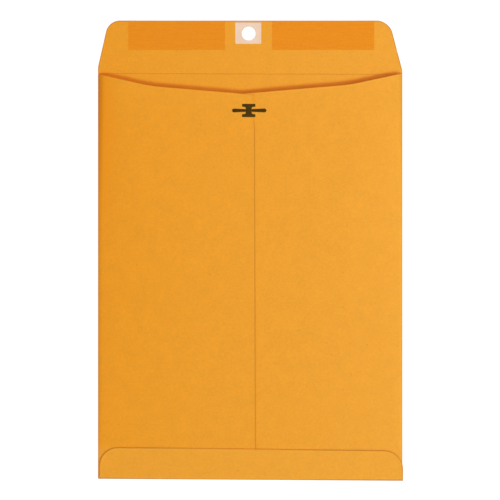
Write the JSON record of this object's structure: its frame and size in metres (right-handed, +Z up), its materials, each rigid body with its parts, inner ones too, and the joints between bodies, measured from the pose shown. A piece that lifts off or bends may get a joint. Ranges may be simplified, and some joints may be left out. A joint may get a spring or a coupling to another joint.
{
  "type": "clasp envelope",
  "caption": "Kraft paper clasp envelope with a centre seam, gummed seal flap, reinforced eyelet hole and a metal clasp whose prongs bend up through the eyelet.",
  "frame": {"origin": "middle of the footprint with the flap laid open, on the surface that the front panel lies on", "axes": "+Z up, out of the back of the envelope; +Y from the bottom fold towards the flap; +X to the right, seen from above"},
  "size_m": [0.2286, 0.3448, 0.0061],
  "materials": {
    "kraft_paper": "smooth golden-brown kraft",
    "gum": "thin dried gum, slightly glossy",
    "patch_paper": "pale reinforcing paper",
    "glue": "dried paste",
    "clasp_metal": "dark stamped sheet metal"
  },
  "bodies": {
    "envelope": {"front_panel": "kraft_paper", "side_fold_left": "kraft_paper", "side_fold_right": "kraft_paper", "bottom_fold": "kraft_paper"},
    "back_wall": {"back_panel_left": "kraft_paper", "back_panel_right": "kraft_paper", "seam_glue": "glue", "bottom_flap": "kraft_paper", "bottom_flap_glue": "glue", "clasp_plate": "clasp_metal"},
    "prong_left": {"prong_left": "clasp_metal"},
    "prong_right": {"prong_right": "clasp_metal"},
    "flap": {"seal_flap": "kraft_paper", "gum_strip_left": "gum", "gum_strip_right": "gum", "eyelet_patch": "patch_paper"}
  },
  "joints": [
    {"name": "flap_fold", "type": "hinge", "parent": "envelope", "child": "flap", "pos_m": [0, 0.1324, 0.00075], "axis": [1, 0, 0], "range_deg": [0, 180]},
    {"name": "mouth_press", "type": "hinge", "parent": "envelope", "child": "back_wall", "pos_m": [0, -0.1719, 0.0005], "axis": [1, 0, 0], "range_deg": [-1, 0], "deforming": ["side_fold_left", "side_fold_right"]},
    {"name": "prong_left_bend", "type": "hinge", "parent": "back_wall", "child": "prong_left", "pos_m": [-0.00347, 0.10455, 0.0058], "axis": [0, 0.9998, 0.0175], "range_deg": [0, 90]},
    {"name": "prong_right_bend", "type": "hinge", "parent": "back_wall", "child": "prong_right", "pos_m": [0.00128, 0.10455, 0.0058], "axis": [0, -0.9998, -0.0175], "range_deg": [0, 90]}
  ],
  "couplings": [
    {"joint": "mouth_press", "follows": "flap_fold", "ratio": -0.0055556}
  ]
}
